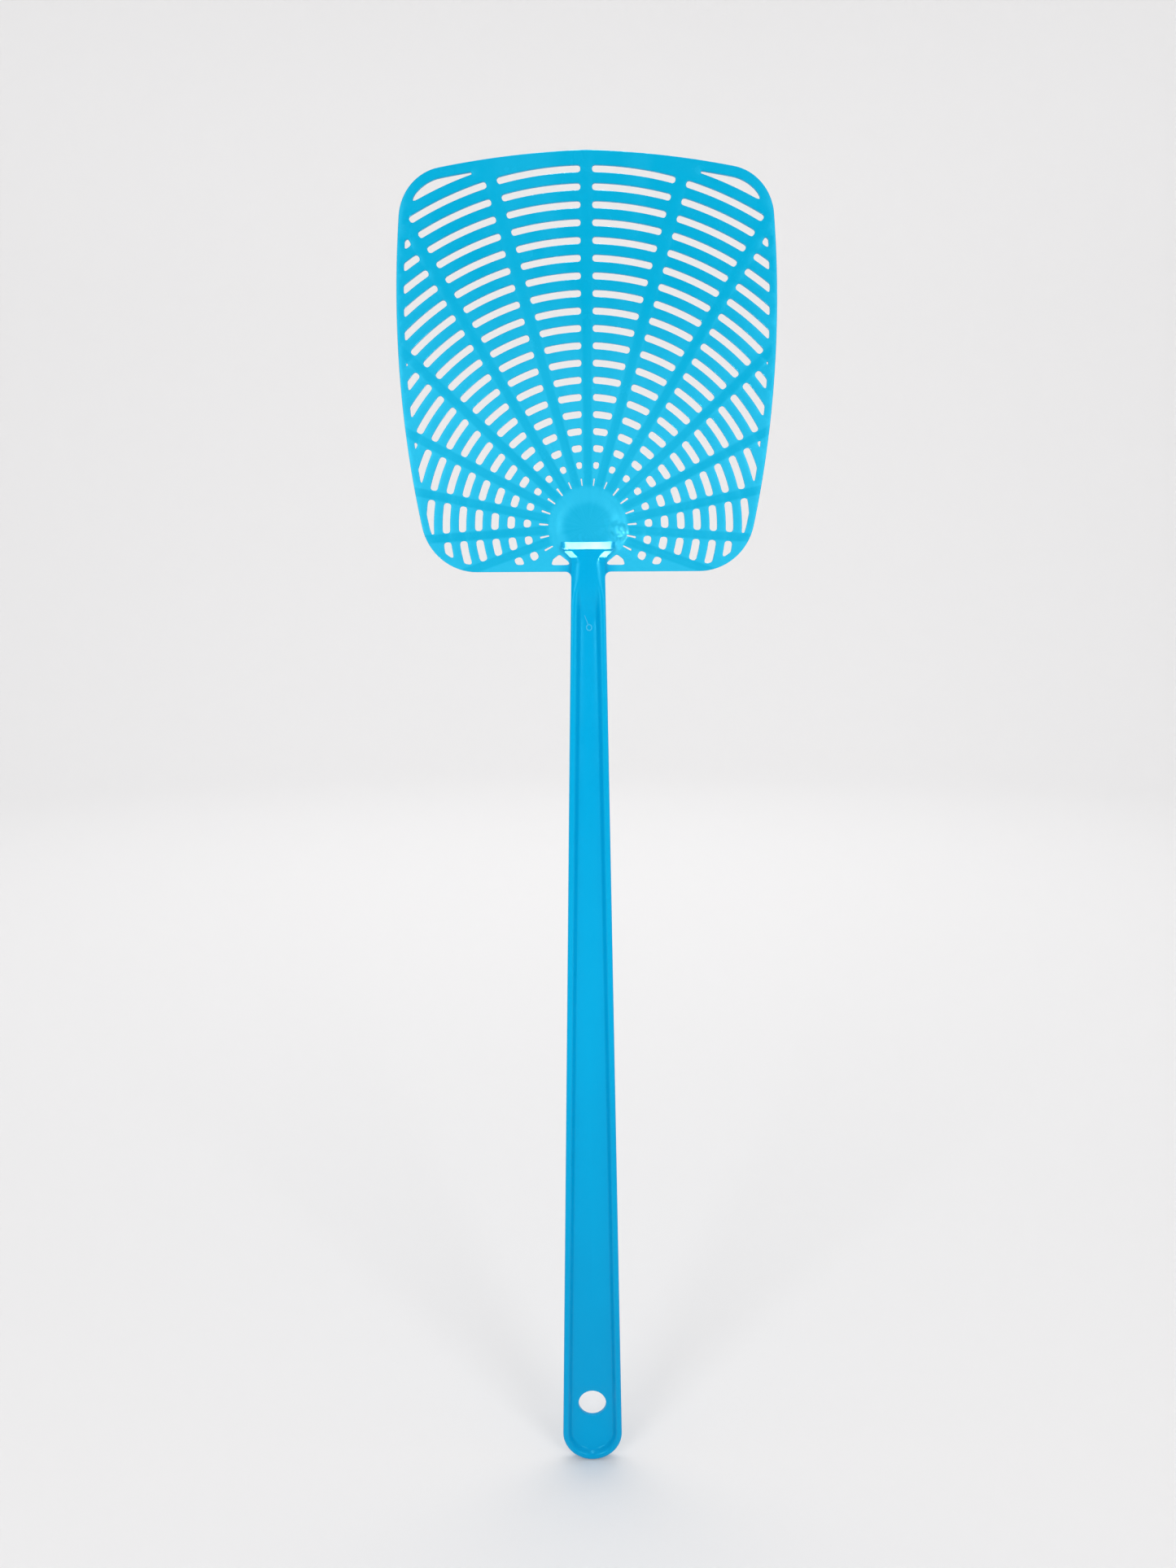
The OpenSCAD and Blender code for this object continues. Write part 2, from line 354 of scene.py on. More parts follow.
def slot_edges(sector, low, high, least=0.0):
    """The ring piece between two radii and between spokes sector and sector + 1, past an angle."""
    first, second = sector * SPOKE_PITCH, (sector + 1) * SPOKE_PITCH
    first_half = spoke_width(sector) / 2
    second_half = spoke_width(sector + 1) / 2
    points = []
    shares = [k / SLOT_STEPS for k in range(SLOT_STEPS + 1)]
    for radius, ts in ((low, shares), (high, shares[::-1])):
        start = max(least, first + math.asin(first_half / radius))
        end = second - math.asin(second_half / radius)
        points += [radius * heading(mix(start, end, t)) for t in ts]
    return [p + flat(0, HUB) for p in points]


def slots():
    """Every slot on the +X side."""
    fence = whole(head_side(SIDE_RIM, TOP_RIM, INNER_CORNER))
    made = []
    for sector, rows in enumerate(ROWS):
        width = mix(*SLOT_WIDTHS, sector / OUTERMOST)
        for row in range(rows):
            middle = FIRST_ROW + row * ROW_PITCH
            low, high = middle - width / 2, middle + width / 2
            edges = slot_edges(sector, low, high)
            if sector == CORNER_SECTOR and row == rows - 1:
                edges = slot_edges(sector, low, high + CORNER_DEPTH, CORNER_START)
            loop = clip(anticlockwise(edges), fence)
            made.append(rounded(loop, SLOT_ROUNDING * width))
    return made


def slits():
    """The short slits round the hub on the +X side."""
    made = []
    for sector in range(len(ROWS)):
        angle = (sector + 0.5) * SPOKE_PITCH
        out, side = heading(angle), beside(angle)
        centre = flat(0, HUB) + out * SLIT_RADIUS
        length, width = FAINT_SLIT_SIZE if sector < FAINT_SECTORS else SLIT_SIZE
        narrow, wide = (side * width / part for part in SLIT_ENDS)
        a = out * length / 2
        loop = [centre - a - narrow, centre - a + narrow, centre + a + wide, centre + a - wide]
        made.append(rounded(loop, SLIT_ROUNDING * width))
    return made


def neck_window():
    """The small opening beside the neck on the +X side."""
    loop = [flat(x * MM, HUB + z * MM) for x, z in NECK_WINDOW]
    return rounded(loop, NECK_WINDOW_ROUND)


def grille_outline():
    """The head's outline with the fillets that run into the neck's sides."""
    tuck = STRIP_HALF_TOP - NECK_TUCK
    corner = flat(STRIP_HALF_TOP + NECK_FILLET, HEAD_BOTTOM - NECK_FILLET)
    fillet = arc(corner, NECK_FILLET, math.pi, math.pi / 2, FILLET_POINTS)
    end = STRIP_TOP + NECK_LAP
    half = [flat(0, end), flat(tuck, end), flat(tuck, corner.y)] + fillet
    return whole_from(half + head_side(0, 0, TOP_CORNER))


# ---- meshes ----


def place(p, depth):
    """The point in space at a flat point and a depth."""
    return Vector((p.x, -depth, p.y))


def inward(loop):
    """For each point of an anticlockwise loop, the mitred direction to its inside."""
    made = []
    for i, p in enumerate(loop):
        before = (p - loop[i - 1]).normalized()
        after = (loop[(i + 1) % len(loop)] - p).normalized()
        a, b = flat(-before.y, before.x), flat(-after.y, after.x)
        made.append((a + b) / max(1 + a.dot(b), LEAST_MITRE))
    return made


def lip_section(low, high, lip, steps=3):
    """Steps (inset, depth) of a wall from low to high with rounded edges."""
    turns = [math.pi / 2 * k / steps for k in range(steps + 1)]
    bottom = [(lip * (1 - math.sin(a)), low + lip * (1 - math.cos(a))) for a in turns]
    return bottom + [(inset, low + high - depth) for inset, depth in reversed(bottom)]


def add_wall(bm, loop, section):
    """A wall round a loop. Returns its first and last rings of edges."""
    normals = inward(loop)
    count = len(loop)
    rings = [
        [bm.verts.new(place(p + n * inset, depth)) for p, n in zip(loop, normals)]
        for inset, depth in section
    ]
    for a, b in zip(rings, rings[1:]):
        for i in range(count):
            j = (i + 1) % count
            bm.faces.new((a[i], a[j], b[j], b[i])).smooth = True

    def edges_of(ring):
        return [bm.edges.get((ring[i], ring[(i + 1) % count])) for i in range(count)]

    return edges_of(rings[0]), edges_of(rings[-1])


def fill(bm, edges):
    bmesh.ops.triangle_fill(bm, use_beauty=True, use_dissolve=False, edges=edges)


def to_object(bm, name, material, sharp=math.radians(35)):
    bmesh.ops.recalc_face_normals(bm, faces=bm.faces)
    mesh = bpy.data.meshes.new(name)
    bm.to_mesh(mesh)
    bm.free()
    mesh.materials.append(material)
    mesh.set_sharp_from_angle(angle=sharp)
    made = bpy.data.objects.new(name, mesh)
    bpy.context.scene.collection.objects.link(made)
    return made


def build_grille(material):
    """The slotted head: outline, slots, slits and windows as one plate with rounded edges."""
    bm = bmesh.new()
    section = lip_section(0, WEB, LIP)
    right = slots() + slits() + [neck_window()]
    left = [[mirrored(p) for p in loop] for loop in right]
    backs, fronts = add_wall(bm, grille_outline(), section)
    for loop in right + left:
        back, front = add_wall(bm, anticlockwise(loop)[::-1], section)
        backs += back
        fronts += front
    fill(bm, backs)
    fill(bm, fronts)
    return to_object(bm, "head_grille", material)


def build_hub(material):
    """The low round boss in the middle of the spokes."""
    bm = bmesh.new()
    loop = arc(flat(0, HUB), HUB_RADIUS, 0, 2 * math.pi, HUB_SIDES + 1)[:-1]
    shoulder = [(inset, WEB - below) for inset, below in HUB_ROOT]
    for k in range(1, HUB_STEPS + 1):
        t = k / HUB_STEPS
        shoulder.append((t * HUB_SHOULDER, mix(WEB, HUB_THICK, ease(t))))
    back, front = add_wall(bm, loop, shoulder)
    fill(bm, back)
    fill(bm, front)
    return to_object(bm, "hub_boss", material)


# ---- handle, neck and ramp: one bar whose section changes along its length ----

# Knots are (height from the hub in mm, value in mm).
# Half of the bar's width at its top, where it is wider than the handle's taper
FLARE = ((-4.4, 8.3), (-6.4, 8.2), (-9.3, 5.35), (-10.6, 5.3))
# Width and depth of the bevel along the bar's front edge
SHOULDER = (
    (-4.4, 0.25),
    (-6.4, 0.3),
    (-7.2, 2.2),
    (-9.0, 2.2),
    (-11, 2.7),
    (-14, 2.5),
    (-23, 0.45),
)
DROP = (
    (-4.4, 0.2),
    (-6.4, 0.3),
    (-7.2, 1.25),
    (-9.0, 1.25),
    (-10, 1.2),
    (-14, 1.0),
    (-23, 0.42),
)
# 1 where the shoulder is rounded, 0 where it is a flat bevel
ROUNDING = ((-6.4, 1), (-7.2, 0), (-9.0, 0), (-10.5, 1))
# Depths of the bar's front and of its channel's floor
TOP_SURFACE = ((-4.4, 1.6), (-6.9, 3.6))
CHANNEL = ((-15, 3.6), (-29, 1.6))
# Depth of the bar's back, which lies inside the plate where the plate covers it
BACK_FACE = ((-15.5, 0.3), (-16.5, 0))
# Width of a rail's top, and of the rail with its inner slope
RAIL_TOP = 1.5 * MM
RAIL_BASE = 3.3 * MM
# The least that a rail is wider than its shoulder, and its base than its top
RAIL_FLAT = 0.2 * MM
RAIL_SLOPE = 1.2 * MM
RAIL_STEPS = 7
# The least upright part of the bar's side
LEAST_SIDE = 0.7 * MM
# Rounding of the bar's back edges, and its share that is cut off at the middle of the round
BACK_ROUND = 0.35 * MM
BACK_CUT = 0.29
# Points of the shoulder: share of its width, and shares of its drop when it is flat and when round
SHOULDER_POINTS = ((0.28, 0.72, 0.62), (0.6, 0.4, 0.26), (1, 0, 0))

# Mark in the channel, in mm from the hub: centre and radius of its ring, and ends of its tail
MARK = (0.2, -30.7, 0.8)
MARK_TAIL = ((-0.1, -29.8), (-1.2, -26.9))
# The ring is a little taller than it is wide
MARK_STRETCH = 1.15
# Radius of the raised line that both are made of, and its shares at the ends of the tail
MARK_HEIGHT = 0.2 * MM
MARK_TAPER = (0.9, 0.5)
# Height of that line's middle above the channel's floor, in mm
MARK_LIFT = 0.02
MARK_SIDES = 24
MARK_TAIL_STEPS = 8

# The greatest distances between sections of the ramp, the neck and the handle
RAMP_STEP = 0.25 * MM
NECK_STEP = 0.8 * MM
HANDLE_STEP = 3 * MM


def half_width(z):
    """Half of the handle's width at a height."""
    t = (z - END_CENTRE.y) / (STRIP_TOP - END_CENTRE.y)
    return mix(END_RADIUS, STRIP_HALF_TOP, t)


def base_half(z):
    """Half of the bar's width at a height: the handle's, and the flare's above it."""
    y = (z - HUB) / MM
    if y < FLARE[-1][0]:
        return half_width(z)
    return eased(FLARE, y, straight) * MM


def bar_section(z):
    """Half of the bar's section at a height: (inset from the side, depth), from back to front."""
    y = (z - HUB) / MM
    top = eased(TOP_SURFACE, y, straight) * MM
    shoulder = eased(SHOULDER, y) * MM
    drop = min(eased(DROP, y) * MM, top - LEAST_SIDE)
    floor = min(eased(CHANNEL, y) * MM, top)
    low = eased(BACK_FACE, y) * MM
    rail = max(RAIL_TOP, shoulder + RAIL_FLAT)
    base = max(RAIL_BASE, rail + RAIL_SLOPE)
    cut = BACK_CUT * BACK_ROUND
    points = [(base, low), (BACK_ROUND, low), (cut, low + cut), (0, low + BACK_ROUND)]
    points.append((0, top - drop))
    roundness = eased(ROUNDING, y)
    for inset, flat_drop, round_drop in SHOULDER_POINTS:
        points.append((inset * shoulder, top - mix(flat_drop, round_drop, roundness) * drop))
    for k in range(RAIL_STEPS):
        t = k / (RAIL_STEPS - 1)
        points.append((mix(rail, base, t), mix(top, floor, ease(t))))
    return points


def build_bar(name, heights, material, round_end=False, hole=False):
    """A length of the bar through the given heights, from the highest to the lowest."""
    bm = bmesh.new()
    right = [(flat(base_half(z), z), flat(-1, 0)) for z in heights]
    path = right + [(mirrored(p), flat(1, 0)) for p, _ in reversed(right)]
    if round_end:
        turn = [-math.pi * k / END_STEPS for k in range(1, END_STEPS)]
        ring = [flat(math.cos(a), math.sin(a)) for a in turn]
        path = right + [(END_CENTRE + END_RADIUS * n, -n) for n in ring] + path[len(right) :]
    grid = []
    for p, n in path:
        points = bar_section(p.y)
        grid.append([bm.verts.new(place(p + n * inset, depth)) for inset, depth in points])
    last, rows = len(grid) - 1, len(heights)
    for i in range(last):
        if not round_end and i == rows - 1:
            continue
        for j in range(len(grid[0]) - 1):
            face = (grid[i][j], grid[i][j + 1], grid[i + 1][j + 1], grid[i + 1][j])
            bm.faces.new(face).smooth = True
    # floor and back are plain strips down to the hole, where they are filled round it
    plain = rows if not hole else sum(1 for z in heights if z > HOLE_RADIUS + HOLE_MARGIN)
    for i in range(plain - 1):
        for j in (0, -1):
            face = (grid[i][j], grid[i + 1][j], grid[last - i - 1][j], grid[last - i][j])
            bm.faces.new(face).smooth = True
    bm.faces.new(grid[0] + grid[last][::-1])
    if not round_end:
        bm.faces.new(grid[rows - 1] + grid[rows][::-1])
    if hole:
        start = plain - 1
        circle = arc(flat(0, 0), HOLE_RADIUS, 2 * math.pi, 0, HOLE_SIDES + 1)[:-1]
        rings = add_wall(bm, circle, lip_section(0, FLOOR, HOLE_LIP))
        for j, ring in zip((0, -1), rings):
            border = [row[j] for row in grid[start : last - start + 1]]
            chain = [bm.edges.get(pair) for pair in zip(border, border[1:])]
            across = bm.edges.get((border[0], border[-1]))
            fill(bm, chain + [across] + ring)
    return to_object(bm, name, material)


def add_tube(bm, path, radii, closed=False, sides=8):
    """A round tube through points (x, depth, z), closed on itself or ended by two caps."""
    rings = []
    count = len(path)
    for i, (p, radius) in enumerate(zip(path, radii)):
        ahead = path[(i + 1) % count] if closed or i < count - 1 else p
        behind = path[i - 1] if closed or i > 0 else p
        out = (ahead - behind).normalized()
        across = out.cross(Vector((0, 1, 0))).normalized()
        up = across.cross(out)
        ring = []
        for k in range(sides):
            a = 2 * math.pi * k / sides
            ring.append(bm.verts.new(p + radius * (math.cos(a) * across + math.sin(a) * up)))
        rings.append(ring)
    pairs = zip(rings, rings[1:] + rings[:1]) if closed else zip(rings, rings[1:])
    for a, b in pairs:
        for i in range(sides):
            j = (i + 1) % sides
            bm.faces.new((a[i], a[j], b[j], b[i])).smooth = True
    if not closed:
        bm.faces.new(rings[0])
        bm.faces.new(rings[-1])


def build_gate_mark(material):
    """The little raised ring and tail in the channel below the head."""
    bm = bmesh.new()

    def on_floor(x, y):
        return place(flat(x * MM, HUB + y * MM), (eased(CHANNEL, y) + MARK_LIFT) * MM)

    centre_x, centre_y, size = MARK
    ring = []
    for k in range(MARK_SIDES):
        a = 2 * math.pi * k / MARK_SIDES
        height = centre_y + MARK_STRETCH * size * math.sin(a)
        ring.append(on_floor(centre_x + size * math.cos(a), height))
    add_tube(bm, ring, [MARK_HEIGHT] * MARK_SIDES, closed=True)
    steps = [k / MARK_TAIL_STEPS for k in range(MARK_TAIL_STEPS + 1)]
    (x0, y0), (x1, y1) = MARK_TAIL
    tail = [on_floor(mix(x0, x1, t), mix(y0, y1, t)) for t in steps]
    add_tube(bm, tail, [MARK_HEIGHT * mix(*MARK_TAPER, t) for t in steps])
    return to_object(bm, "neck_gate_mark", material)


def heights_between(high, low, step):
    """Evenly spaced heights from high to low, at most a step apart."""
    count = max(2, math.ceil((high - low) / step) + 1)
    return [mix(high, low, i / (count - 1)) for i in range(count)]


# ---- materials ----

# Each pair is where a change of colour or relief begins and where it is complete.
# Distance from the middle line of a spoke, over which its deeper colour ends and the painted light
# shining through the thinner plastic begins
SPOKE_FADE = (0.9 * MM, 1.7 * MM)
# Angles from straight up, just past the last spoke
LAST_SPOKE = ((OUTERMOST + 0.25) * SPOKE_PITCH, (OUTERMOST + 0.6) * SPOKE_PITCH)
# Distances from the hub's middle
COLLAR_FADE = (14.5 * MM, 11 * MM)
HUB_FADE = (6.3 * MM, 9 * MM)
WRINKLE_FADE = (14 * MM, 8 * MM)
# Heights from the hub, and distances from the middle line, over which the plate joins the neck
NECK_FADE = (-7.5 * MM, -15 * MM)
NECK_SIDE_FADE = (10 * MM, 6.3 * MM)
# Middle of the pitted patch on the hub's edge, and distances from it
PITS = Vector((9.3 * MM, -WEB, HUB - 1.3 * MM))
PITS_FADE = (3.6 * MM, 1.6 * MM)
# Heights from the hub, from the far colour to the near one: a painted falloff of light, lighter
# towards the hub
HEAD_FADE = (85 * MM, 10 * MM)
HANDLE_FADE = (-330 * MM, -130 * MM)
# The values of a noise that are spread over the whole of its effect
NOISE_SPAN = (0.3, 0.7)


def plastic(name, far, near, fade, roughness, ripple_depth, neck=None):
    """Glossy moulded plastic. Its colour goes from far to near between the two heights from the
    hub in fade: a painted falloff of light, lighter towards the hub. It is deeper on the thick
    spokes and hub and lighter on the thin plastic between them near the hub, which is painted light
    shining through from behind; on top of that come flow streaks from the gate in the hub, drift
    and a fine skin. Towards the neck it turns into the neck colour."""
    made = bpy.data.materials.new(name)
    made.use_nodes = True
    tree = made.node_tree
    shader = tree.nodes["Principled BSDF"]
    shader.inputs["IOR"].default_value = 1.49
    shader.inputs["Specular IOR Level"].default_value = 0.4
    shader.inputs["Specular Tint"].default_value = (0.15, 0.85, 1.0, 1)

    def feed(socket, value):
        if isinstance(value, bpy.types.NodeSocket):
            tree.links.new(value, socket)
        else:
            socket.default_value = value

    def math_node(operation, *values):
        n = tree.nodes.new("ShaderNodeMath")
        n.operation = operation
        for socket, value in zip(n.inputs, values):
            feed(socket, value)
        return n.outputs["Value"]

    def vector_node(operation, *values):
        n = tree.nodes.new("ShaderNodeVectorMath")
        n.operation = operation
        for socket, value in zip(n.inputs, values):
            feed(socket, value)
        return n

    def noise(vector, scale, detail):
        n = tree.nodes.new("ShaderNodeTexNoise")
        n.inputs["Scale"].default_value = scale
        n.inputs["Detail"].default_value = detail
        tree.links.new(vector, n.inputs["Vector"])
        return n.outputs["Fac"]

    def ramp(value, from_low, from_high, low=0.0, high=1.0):
        n = tree.nodes.new("ShaderNodeMapRange")
        n.interpolation_type = "SMOOTHSTEP"
        limits = {"From Min": from_low, "From Max": from_high, "To Min": low, "To Max": high}
        for key, number in limits.items():
            n.inputs[key].default_value = number
        tree.links.new(value, n.inputs["Value"])
        return n.outputs["Result"]

    def mix_colours(factor, *colours):
        n = tree.nodes.new("ShaderNodeMix")
        n.data_type = "RGBA"
        n.clamp_factor = True
        tree.links.new(factor, n.inputs[0])
        ends = [socket for socket in n.inputs if socket.type == "RGBA"]
        for socket, colour in zip(ends, colours):
            feed(socket, colour if isinstance(colour, bpy.types.NodeSocket) else (*colour, 1))
        return next(socket for socket in n.outputs if socket.type == "RGBA")

    def bump(height, strength, depth, under=None):
        n = tree.nodes.new("ShaderNodeBump")
        n.inputs["Strength"].default_value = strength
        n.inputs["Distance"].default_value = depth
        tree.links.new(height, n.inputs["Height"])
        if under:
            tree.links.new(under, n.inputs["Normal"])
        return n.outputs["Normal"]

    spot = tree.nodes.new("ShaderNodeTexCoord").outputs["Object"]
    from_hub = vector_node("SUBTRACT", spot, (0, 0, HUB)).outputs["Vector"]
    axes = tree.nodes.new("ShaderNodeSeparateXYZ")
    tree.links.new(from_hub, axes.inputs["Vector"])
    radius = vector_node("LENGTH", from_hub).outputs["Value"]
    turn = math_node("ARCTAN2", axes.outputs["X"], axes.outputs["Z"])

    # distance to the middle line of the nearest spoke
    past_half = math_node("MODULO", math_node("ABSOLUTE", turn), SPOKE_PITCH)
    off_spoke = math_node("MINIMUM", past_half, math_node("SUBTRACT", SPOKE_PITCH, past_half))
    between_spokes = ramp(math_node("MULTIPLY", off_spoke, radius), *SPOKE_FADE, low=0.35)
    on_collar = ramp(radius, *COLLAR_FADE)
    past_last = ramp(math_node("ABSOLUTE", turn), *LAST_SPOKE)
    off_spokes = math_node("MAXIMUM", math_node("MAXIMUM", between_spokes, on_collar), past_last)
    off_hub = ramp(radius, *HUB_FADE, low=0.4)
    # painted falloff of light: the colour is lighter towards the hub and deeper far from it
    painted_light_near_hub = ramp(axes.outputs["Z"], *fade)
    # painted light: the thin plastic between spokes near the hub is painted lighter, as if lit
    # through from behind
    painted_light_tone = math_node("MULTIPLY", math_node("MULTIPLY", off_spokes, off_hub), painted_light_near_hub)

    # flow streaks run away from the gate, so their noise is drawn out along the radius
    polar = tree.nodes.new("ShaderNodeCombineXYZ")
    tree.links.new(turn, polar.inputs["X"])
    tree.links.new(radius, polar.inputs["Y"])
    flow = noise(polar.outputs["Vector"], scale=7, detail=3)
    streaks = ramp(flow, *NOISE_SPAN, low=-0.12, high=0.12)
    drift = ramp(noise(spot, scale=14, detail=2), *NOISE_SPAN, low=-0.08, high=0.12)
    uneven = math_node("ADD", streaks, drift)
    amount = math_node("ADD", painted_light_tone, uneven)

    colour = mix_colours(amount, far, near)
    if neck:
        low = ramp(axes.outputs["Z"], *NECK_FADE)
        central = ramp(math_node("ABSOLUTE", axes.outputs["X"]), *NECK_SIDE_FADE)
        colour = mix_colours(math_node("MULTIPLY", low, central), colour, neck)
    tree.links.new(colour, shader.inputs["Base Color"])

    cloud = noise(spot, scale=160, detail=4)
    patches = ramp(cloud, *NOISE_SPAN, low=roughness - 0.04, high=roughness + 0.06)
    tree.links.new(patches, shader.inputs["Roughness"])

    # skin: a fine grain, the slow ripple of the moulded faces, wrinkles on the hub and the pits
    grains = noise(spot, scale=2600, detail=2)
    skin = bump(grains, strength=0.1, depth=0.02 * MM)
    waves = noise(spot, scale=210, detail=2)
    skin = bump(waves, strength=0.5, depth=ripple_depth, under=skin)
    folds = math_node("MULTIPLY", noise(spot, scale=420, detail=3), ramp(radius, *WRINKLE_FADE))
    skin = bump(folds, strength=0.6, depth=0.12 * MM, under=skin)
    from_pits = vector_node("SUBTRACT", spot, PITS).outputs["Vector"]
    in_pits = ramp(vector_node("LENGTH", from_pits).outputs["Value"], *PITS_FADE)
    pits = math_node("MULTIPLY", noise(spot, scale=480, detail=1), in_pits)
    skin = bump(pits, strength=1, depth=0.9 * MM, under=skin)
    tree.links.new(skin, shader.inputs["Normal"])
    return made


def paper(name, colour):
    made = bpy.data.materials.new(name)
    made.use_nodes = True
    shader = made.node_tree.nodes["Principled BSDF"]
    shader.inputs["Base Color"].default_value = (*colour, 1)
    shader.inputs["Roughness"].default_value = 0.85
    shader.inputs["Specular IOR Level"].default_value = 0.15
    return made


# ---- stage, lights and camera ----

# The floor lies this far below the CAD box
FLOOR_GAP = 0.2 * MM
# Radii of the disc in the middle of the floor, of the flat floor, and of its curve up to the wall
FLOOR_CORE = 0.02
FLOOR_RADIUS = 1.6
SWEEP_RADIUS = 1.0
SWEEP_STEPS = 16
STAGE_SIDES = 96
# Height of the wall's top above the floor
WALL_HEIGHT = 2.6
PAPER_COLOUR = (0.80, 0.795, 0.795)
ROOM_COLOUR = (0.99, 0.99, 1.0)
ROOM_LIGHT = 0.665
# Beam angles of the small lamps that only make glints
WIDE_BEAM = math.radians(20)
NARROW_BEAM = math.radians(3.5)
# Distance and direction of the narrow lamp from the pits
PITS_LAMP_DISTANCE = 0.3
TO_PITS_LAMP = Vector((0.46, -0.88, -0.08))
# The camera, measured from the plate's front at the hub's middle. It looks down by the tilt
LENS = 27.09
CAMERA_SIDE = -0.4 * MM
CAMERA_DISTANCE = 372.3 * MM
CAMERA_DROP = 21.3 * MM
CAMERA_TILT = math.radians(9)
CAMERA_ROLL = math.radians(-0.3)


def build_stage():
    """A pale floor that curves up into a round pale wall on every side."""
    bm = bmesh.new()
    floor_z = cad_box[0].z - FLOOR_GAP
    profile = [(FLOOR_CORE, floor_z), (FLOOR_RADIUS, floor_z)]
    for k in range(1, SWEEP_STEPS + 1):
        a = math.pi / 2 * k / SWEEP_STEPS
        rise = SWEEP_RADIUS * (1 - math.cos(a))
        profile.append((FLOOR_RADIUS + SWEEP_RADIUS * math.sin(a), floor_z + rise))
    profile.append((FLOOR_RADIUS + SWEEP_RADIUS, floor_z + WALL_HEIGHT))
    turns = [2 * math.pi * i / STAGE_SIDES for i in range(STAGE_SIDES)]
    around = [(math.cos(a), math.sin(a)) for a in turns]
    rings = [[bm.verts.new((r * x, r * y, z)) for x, y in around] for r, z in profile]
    for a, b in zip(rings, rings[1:]):
        for i in range(STAGE_SIDES):
            j = (i + 1) % STAGE_SIDES
            bm.faces.new((a[i], a[j], b[j], b[i])).smooth = True
    bm.faces.new(rings[0])
    made = to_object(bm, "floor_sweep", paper("pale_paper", PAPER_COLOUR))


def add_light(name, place_at, aim, size, power, beam=None):
    """An area light. With a beam angle it is a lamp that shows only as glints on glossy faces."""
    data = bpy.data.lights.new(name, "AREA")
    data.shape = "RECTANGLE"
    data.size, data.size_y = size
    data.energy = power
    made = bpy.data.objects.new(name, data)
    made.location = place_at
    direction = Vector(aim) - Vector(place_at)
    made.rotation_euler = direction.to_track_quat("-Z", "Y").to_euler()
    made.visible_camera = False
    if beam:
        data.spread = beam
        made.visible_diffuse = False
    bpy.context.scene.collection.objects.link(made)


def build_lights():
    hub = (0, 0, HUB)
    for side, name in ((-1, "left"), (1, "right")):
        add_light(
            "softbox_" + name,
            place_at=(side * 0.5, -0.85, HUB + 0.2),
            aim=hub,
            size=(0.35, 0.6),
            power=3.2,
        )
        add_light(
            "spot_" + name,
            place_at=(side * 0.25, -0.088, HUB - 0.22),
            aim=hub,
            size=(0.07, 0.07),
            power=0.025,
            beam=WIDE_BEAM,
        )
    add_light(
        "spot_top",
        place_at=(0, -0.1, HUB + 0.5),
        aim=hub,
        size=(0.1, 0.08),
        power=0.042,
        beam=WIDE_BEAM,
    )
    add_light(
        "spot_pits",
        place_at=PITS + PITS_LAMP_DISTANCE * TO_PITS_LAMP,
        aim=PITS,
        size=(0.012, 0.012),
        power=0.0014,
        beam=NARROW_BEAM,
    )
    add_light("tent_top", place_at=(0, 0.3, 1.6), aim=(0, 0.3, 0), size=(1.2, 0.8), power=5.4)
    add_light(
        "back_wash",
        place_at=(0, 0.6, 1.7),
        aim=(0, 2.4, 0.75),
        size=(2.4, 0.8),
        power=18.5,
    )
    world = bpy.data.worlds.new("soft_room")
    world.use_nodes = True
    background = world.node_tree.nodes["Background"]
    background.inputs["Color"].default_value = (*ROOM_COLOUR, 1)
    background.inputs["Strength"].default_value = ROOM_LIGHT
    bpy.context.scene.world = world
    bpy.context.scene.view_settings.view_transform = "Standard"


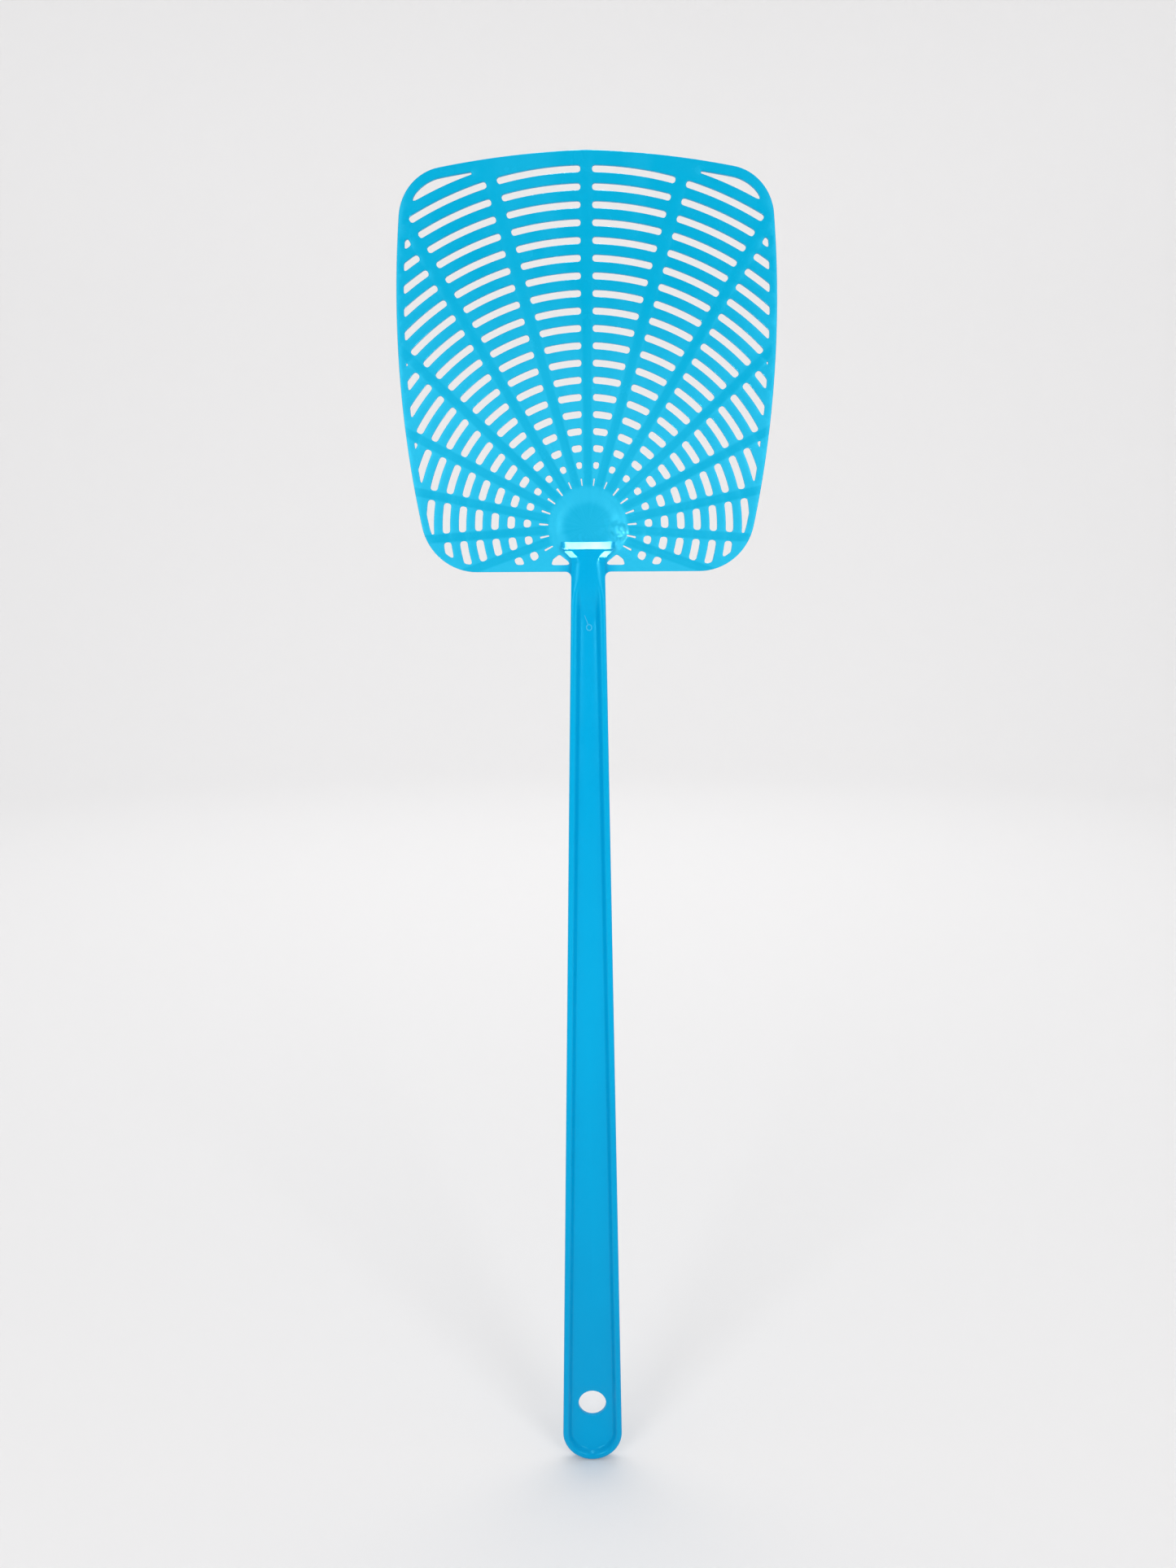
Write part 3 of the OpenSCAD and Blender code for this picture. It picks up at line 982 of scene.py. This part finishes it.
def build_camera():
    data = bpy.data.cameras.new("camera")
    data.sensor_width = 36
    data.lens = LENS
    made = bpy.data.objects.new("camera", data)
    bpy.context.scene.collection.objects.link(made)
    made.location = (CAMERA_SIDE, -WEB - CAMERA_DISTANCE, HUB - CAMERA_DROP)
    tilt = Matrix.Rotation(math.pi / 2 - CAMERA_TILT, 3, "X")
    made.rotation_euler = (tilt @ Matrix.Rotation(CAMERA_ROLL, 3, "Z")).to_euler()
    bpy.context.scene.camera = made


# ---- the swatter ----

build_camera()

# In each plastic, far is the deeper tone away from the hub and near the lighter one round it:
# painted light
NECK_COLOUR = (0.0, 0.39, 0.715)
head_plastic = plastic(
    "head_plastic",
    far=(0.0, 0.385, 0.64),
    near=(0.022, 0.49, 0.765),
    fade=HEAD_FADE,
    roughness=0.22,
    ripple_depth=0.1 * MM,
    neck=NECK_COLOUR,
)
handle_plastic = plastic(
    "handle_plastic",
    far=(0.0, 0.31, 0.61),
    near=NECK_COLOUR,
    fade=HANDLE_FADE,
    roughness=0.2,
    ripple_depth=0.03 * MM,
)
# The mark is painted paler than the handle: a painted highlight in place of the light its low
# relief catches
mark_plastic = plastic(
    "mark_plastic",
    far=(0.03, 0.45, 0.75),
    near=(0.06, 0.52, 0.8),
    fade=HANDLE_FADE,
    roughness=0.2,
    ripple_depth=0.03 * MM,
)

SPOKES = [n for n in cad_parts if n.startswith("spoke_")]
RINGS = [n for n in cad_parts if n.startswith("ring_")]

grille = build_grille(head_plastic)
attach(grille, "head")
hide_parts("head_rim", "hub_collar", "neck_plate", *SPOKES, *RINGS)

hub = build_hub(head_plastic)
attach(hub, "head")
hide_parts("hub_disc")

RAMP_TOP = HUB + FLARE[0][0] * MM
ramp_heights = heights_between(RAMP_TOP, STRIP_TOP, RAMP_STEP)
ramp = build_bar("neck_ramp_moulding", ramp_heights, handle_plastic)
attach(ramp, "head")
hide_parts("neck_ramp")

neck_heights = heights_between(STRIP_TOP, STRIP_BOTTOM, NECK_STEP)
neck = build_bar("neck_moulding", neck_heights, handle_plastic)
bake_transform(neck)
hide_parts("neck_strip")

mark = build_gate_mark(mark_plastic)
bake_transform(mark)

handle_heights = heights_between(STRIP_BOTTOM, END_CENTRE.y, HANDLE_STEP)
handle = build_bar(
    "handle_moulding", handle_heights, handle_plastic, round_end=True, hole=True
)
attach(handle, "handle")
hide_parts("handle_floor", "left_rail", "right_rail", "end_rail")

build_stage()
build_lights()
